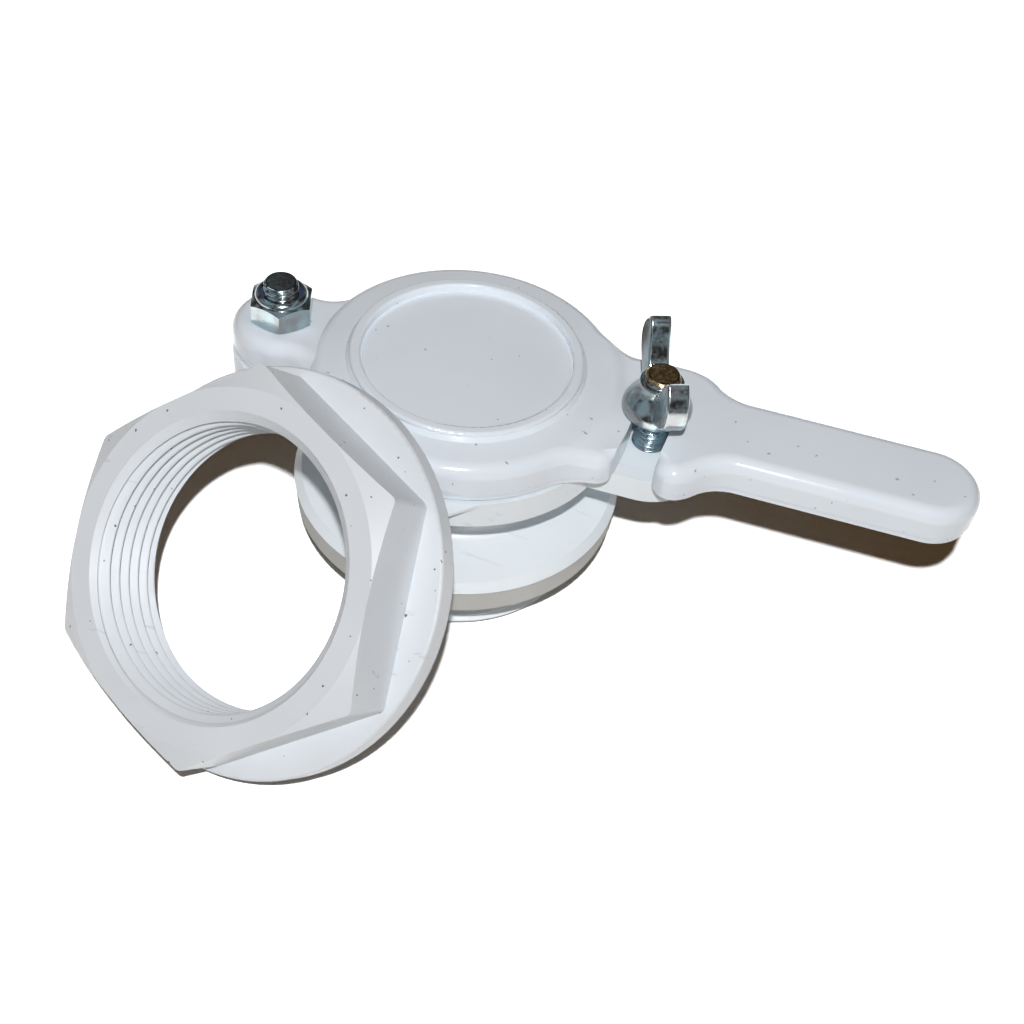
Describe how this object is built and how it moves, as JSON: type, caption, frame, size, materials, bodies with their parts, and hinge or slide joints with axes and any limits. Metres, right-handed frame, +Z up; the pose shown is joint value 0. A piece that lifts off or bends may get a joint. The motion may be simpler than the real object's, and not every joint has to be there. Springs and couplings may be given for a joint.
{
  "type": "cutting gate valve",
  "caption": "Plastic cutting gate valve: threaded tail, swinging gate clamped by a wing nut, flange gasket and a loose flanged hexagon tank nut.",
  "frame": {"origin": "on the axis of the passage, at the underside of the mounting flange where the gasket seats", "axes": "+Z up the passage from the tank side to the gate, +X from the gate's pivot to its handle"},
  "size_m": [0.1408, 0.1021, 0.0566],
  "materials": {
    "valve_body": "moulded, glossy white",
    "flange_gasket": "matte off-white",
    "gate": "moulded, glossy white",
    "pivot_bolt": "bright zinc plate",
    "pivot_lock_nut": "bright zinc plate",
    "lock_nut_insert": "dark blue nylon",
    "clamp_bolt": "bright zinc plate",
    "wing_nut": "bright zinc plate, cast wings",
    "tank_nut": "satin white, turned faces"
  },
  "bodies": {
    "body": {"valve_body": "valve_body", "flange_gasket": "flange_gasket", "pivot_bolt": "pivot_bolt", "pivot_lock_nut": "pivot_lock_nut", "lock_nut_insert": "lock_nut_insert", "clamp_bolt": "clamp_bolt"},
    "gate": {"gate": "gate"},
    "wing_nut": {"wing_nut": "wing_nut"},
    "tank_nut": {"tank_nut": "tank_nut"}
  },
  "joints": [
    {"name": "gate_swing", "type": "hinge", "parent": "body", "child": "gate", "pos_m": [-0.0335, 0, 0.02285], "axis": [0, 0, 1], "range_deg": [0, 180]},
    {"name": "wing_nut_turn", "type": "hinge", "parent": "body", "child": "wing_nut", "pos_m": [0.0332, 0, 0.03], "axis": [0, 0, 1], "continuous": true},
    {"name": "tank_nut_lift", "type": "slide", "parent": "body", "child": "tank_nut", "axis": [-0.3131, -0.6618, 0.6812], "range_m": [0, 0.08]}
  ]
}
